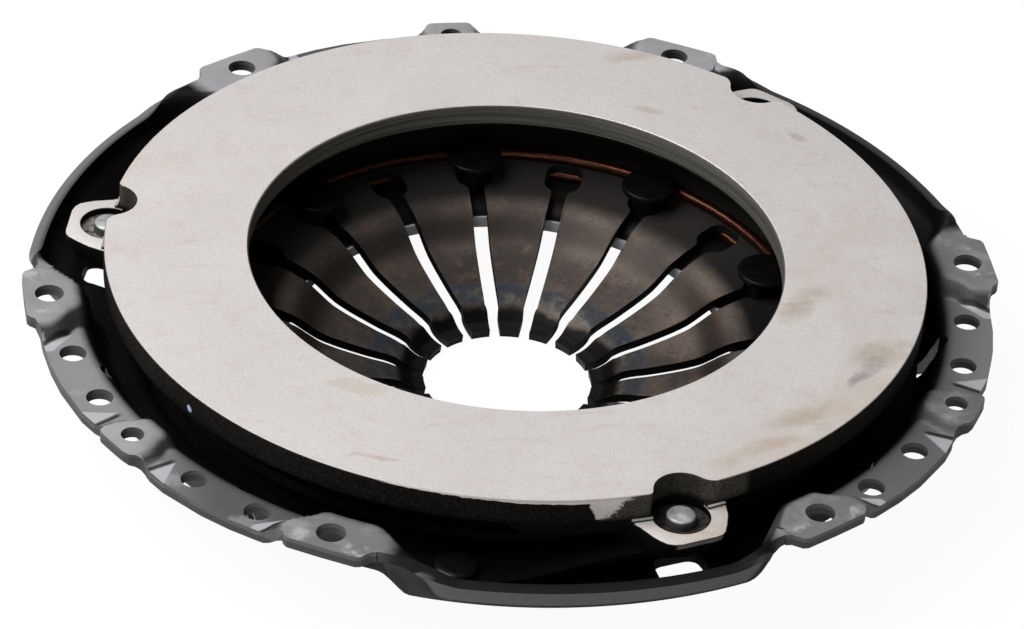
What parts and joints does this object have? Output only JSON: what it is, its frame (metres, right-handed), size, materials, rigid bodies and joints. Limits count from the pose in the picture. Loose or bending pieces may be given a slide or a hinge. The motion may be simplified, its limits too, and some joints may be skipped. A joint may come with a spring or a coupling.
{
  "type": "clutch pressure plate",
  "caption": "Diaphragm-spring clutch pressure plate: pressed steel cover with bolting ears, cast iron friction ring, slotted spring, fulcrum rings, spacer rivets and drive straps.",
  "frame": {"origin": "centre of the bolt circle, on the upper face of the six bolting ears", "axes": "+Z along the clutch axis towards the flywheel, out of the friction face; a bolt hole lies on +X, and a dowel hole on +Y"},
  "size_m": [0.2876, 0.2864, 0.0487],
  "materials": {
    "cover_steel": "dark phosphated pressing, rubbed to bare grey steel on the ears",
    "plate_iron": "friction face and lug faces machined, the rest dark and as cast",
    "spring_steel": "tempered brown with a blue temper ring near the finger tips",
    "ring_wire": "copper-coloured round wire",
    "spacer_rivet_steel": "dark, smooth upset heads",
    "strap_steel": "dark blued spring strip",
    "strap_rivet_steel": "zinc grey, lightly hammered ends"
  },
  "bodies": {
    "cover_assembly": {"cover": "cover_steel", "diaphragm_spring": "spring_steel", "fulcrum_ring_plate_side": "ring_wire", "fulcrum_ring_cover_side": "ring_wire", "spacer_rivet_1": "spacer_rivet_steel", "spacer_rivet_2": "spacer_rivet_steel", "spacer_rivet_3": "spacer_rivet_steel", "spacer_rivet_4": "spacer_rivet_steel", "spacer_rivet_5": "spacer_rivet_steel", "spacer_rivet_6": "spacer_rivet_steel", "spacer_rivet_7": "spacer_rivet_steel", "spacer_rivet_8": "spacer_rivet_steel", "spacer_rivet_9": "spacer_rivet_steel", "strap_1_leaf_1": "strap_steel", "strap_1_leaf_2": "strap_steel", "strap_1_leaf_3": "strap_steel", "cover_strap_rivet_1": "strap_steel", "strap_2_leaf_1": "strap_steel", "strap_2_leaf_2": "strap_steel", "strap_2_leaf_3": "strap_steel", "cover_strap_rivet_2": "strap_steel", "strap_3_leaf_1": "strap_steel", "strap_3_leaf_2": "strap_steel", "strap_3_leaf_3": "strap_steel", "cover_strap_rivet_3": "strap_steel"},
    "pressure_plate": {"pressure_plate": "plate_iron", "lug_rivet_1": "strap_rivet_steel", "lug_rivet_2": "strap_rivet_steel", "lug_rivet_3": "strap_rivet_steel"}
  },
  "joints": [
    {"name": "plate_travel", "type": "slide", "parent": "cover_assembly", "child": "pressure_plate", "axis": [0, 0, -1], "range_m": [0, 0.0075], "stiffness_N_per_m": 40000, "springref_m": -0.002, "deforming": ["diaphragm_spring", "strap_1_leaf_1", "strap_1_leaf_2", "strap_1_leaf_3", "strap_2_leaf_1", "strap_2_leaf_2", "strap_2_leaf_3", "strap_3_leaf_1", "strap_3_leaf_2", "strap_3_leaf_3"]}
  ]
}
